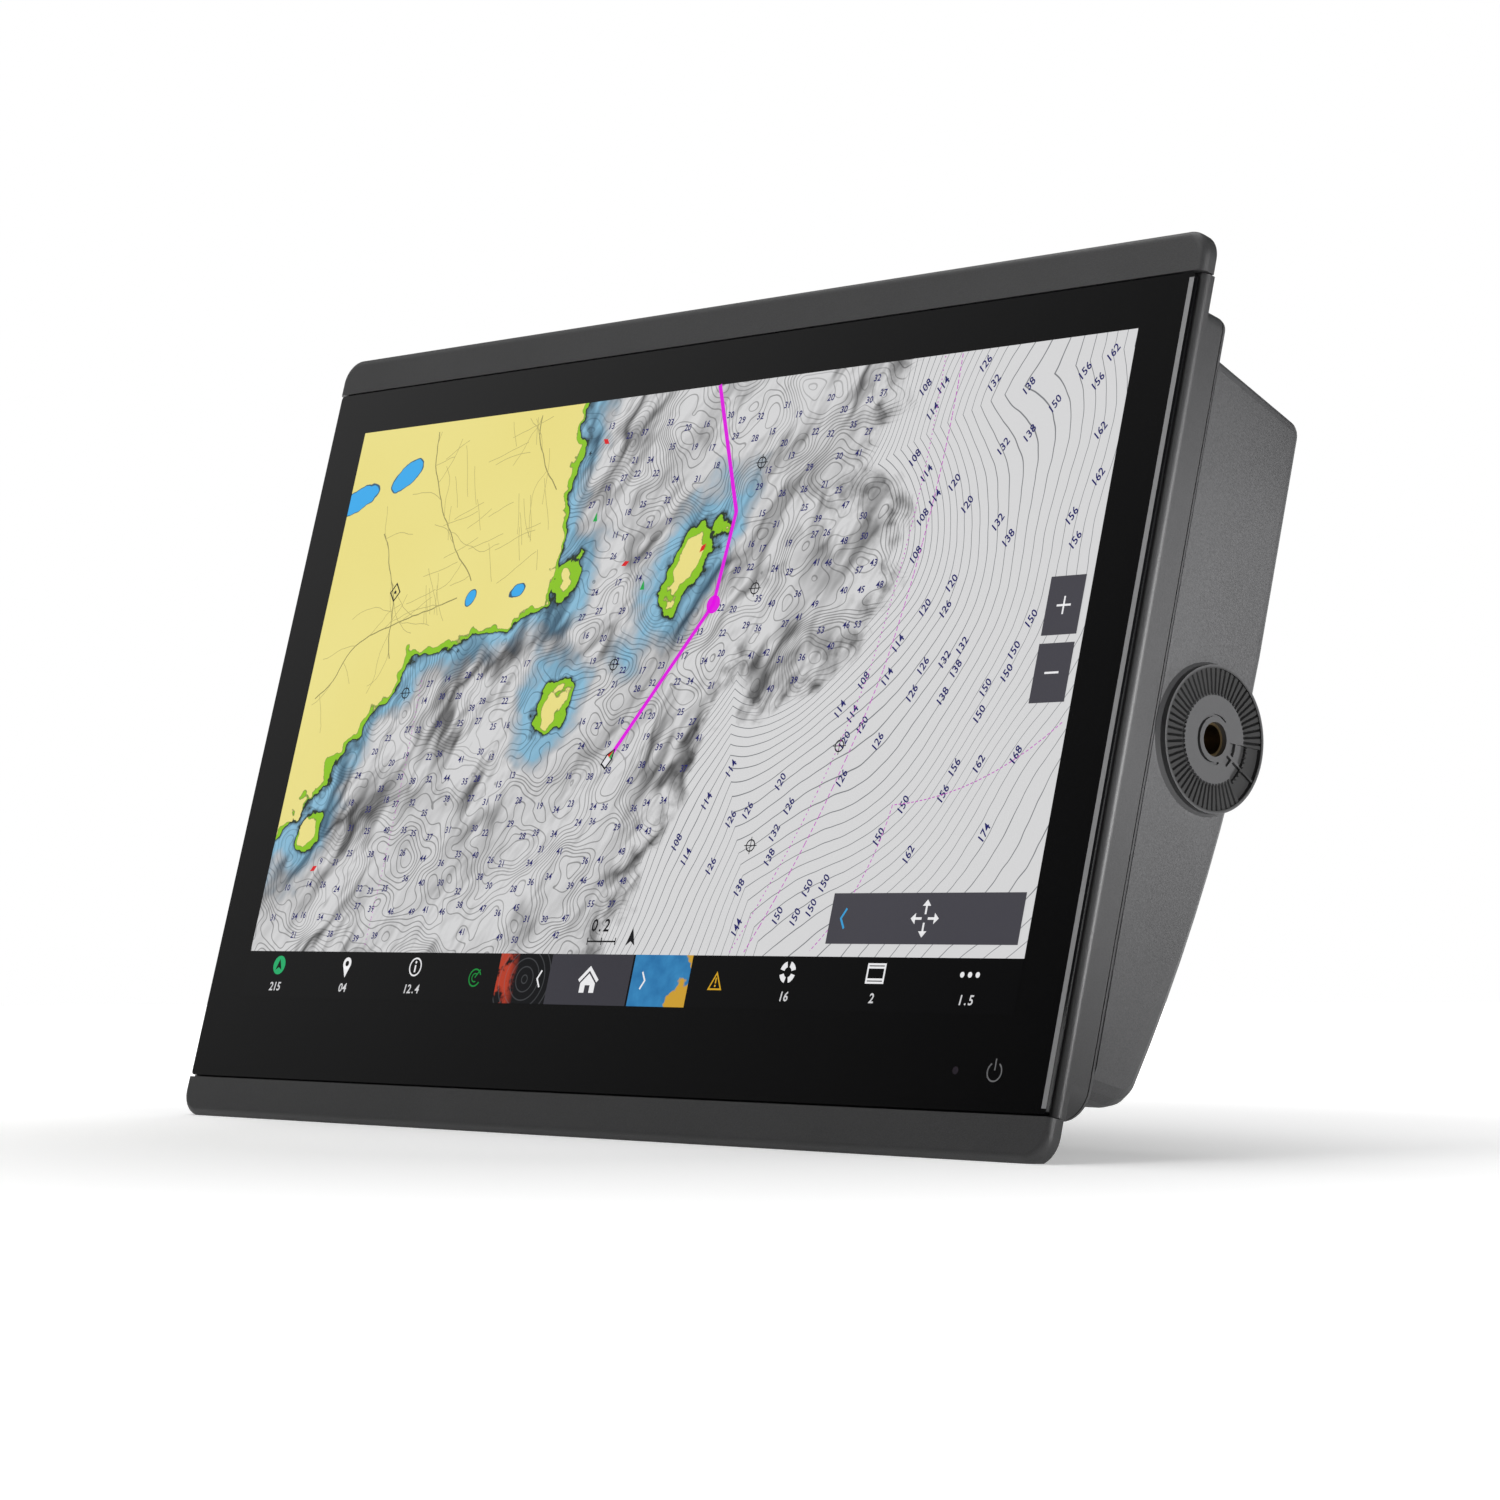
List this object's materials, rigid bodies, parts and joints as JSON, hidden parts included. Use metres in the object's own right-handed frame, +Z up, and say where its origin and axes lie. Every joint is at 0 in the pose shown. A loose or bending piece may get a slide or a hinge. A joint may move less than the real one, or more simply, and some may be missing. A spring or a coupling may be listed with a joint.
{
  "type": "chartplotter display",
  "caption": "Flush-mount marine touch-screen chartplotter: wide flat glass front with clip-on trim strips, deep sealed housing, toothed side discs and rear ports.",
  "frame": {"origin": "centre of the four flush-mount holes, on the flange's rear face", "axes": "+X to the user's right, +Y from the user into the dash, +Z up the screen"},
  "size_m": [0.385, 0.074, 0.2612],
  "materials": {
    "cover_glass": "polished, black printed border",
    "rubber_black": "moulded rubber",
    "rubber_red": "silicone rubber",
    "film": "clear film",
    "lcd": "display panel",
    "light_guide": "clear acrylic",
    "steel": "stainless",
    "flex": "polyimide film",
    "frame_plastic": "fine grain",
    "trim_plastic": "fine matt grain",
    "housing_plastic": "coarse leather-like grain",
    "disc_plastic": "smooth matt",
    "circuit_board": "solder resist",
    "circuit_board_blue": "solder resist",
    "sensor": "smoked lens",
    "insert_metal": "turned",
    "sink_metal": "black powder coat",
    "tin": "tin plate",
    "heat_pad": "soft pad",
    "part_plastic": "moulded",
    "ceramic": "ceramic patch",
    "label": "blank foil",
    "port_plastic": "glass-filled moulding",
    "nickel": "nickel plate",
    "gold": "gold plate"
  },
  "bodies": {
    "root": {"cover_glass": "cover_glass", "glass_tape": "rubber_black", "touch_sensor": "film", "lcd_panel": "lcd", "light_guide": "light_guide", "display_chassis": "steel", "display_lead": "flex", "touch_lead": "flex", "front_frame": "frame_plastic", "power_key_board": "circuit_board", "light_sensor": "sensor", "housing_seal": "rubber_black", "rear_housing": "housing_plastic", "port_bay": "housing_plastic", "card_bay": "housing_plastic", "housing_screws": "steel", "disc_right": "disc_plastic", "disc_left": "disc_plastic", "knob_insert_right": "insert_metal", "knob_insert_left": "insert_metal", "disc_screws": "steel", "heat_sink": "sink_metal", "heat_sink_fins": "sink_metal", "heat_sink_screws": "steel", "main_board": "circuit_board", "processor_shield": "tin", "heat_pad": "heat_pad", "power_board": "circuit_board_blue", "backup_cell": "tin", "beeper": "part_plastic", "board_standoffs": "insert_metal", "board_screws": "steel", "satellite_antenna": "ceramic", "wireless_antenna": "circuit_board", "pressure_vent": "part_plastic", "rating_label": "label", "port_board": "circuit_board", "power_port": "port_plastic", "sonar_ports": "port_plastic", "network_ports": "port_plastic", "data_bus_port": "nickel", "video_port": "port_plastic", "usb_port": "port_plastic", "port_inserts": "part_plastic", "port_contacts": "gold", "port_nuts": "port_plastic", "port_rings": "rubber_red", "card_reader": "part_plastic", "card_door_pin": "steel"},
    "trim_top": {"trim_top": "trim_plastic"},
    "trim_bottom": {"trim_bottom": "trim_plastic"},
    "card_door": {"card_door": "trim_plastic", "card_door_seal": "rubber_black"},
    "sonar_cap": {"sonar_cap": "rubber_black"},
    "network_cap": {"network_cap": "rubber_black"},
    "video_cap": {"video_cap": "rubber_black"},
    "usb_cap": {"usb_cap": "rubber_black"}
  },
  "joints": [
    {"name": "trim_top_pull", "type": "slide", "parent": "root", "child": "trim_top", "axis": [0, -1, 0], "range_m": [0, 0.02]},
    {"name": "trim_bottom_pull", "type": "slide", "parent": "root", "child": "trim_bottom", "axis": [0, -1, 0], "range_m": [0, 0.02]},
    {"name": "card_door_hinge", "type": "hinge", "parent": "root", "child": "card_door", "pos_m": [0.1546, 0.0591, -0.028], "axis": [0, 0, -1], "range_deg": [0, 110]},
    {"name": "sonar_cap_pull", "type": "slide", "parent": "root", "child": "sonar_cap", "axis": [0, 1, 0], "range_m": [0, 0.025]},
    {"name": "network_cap_pull", "type": "slide", "parent": "root", "child": "network_cap", "axis": [0, 1, 0], "range_m": [0, 0.025]},
    {"name": "video_cap_pull", "type": "slide", "parent": "root", "child": "video_cap", "axis": [0, 1, 0], "range_m": [0, 0.025]},
    {"name": "usb_cap_pull", "type": "slide", "parent": "root", "child": "usb_cap", "axis": [0, 1, 0], "range_m": [0, 0.025]}
  ]
}
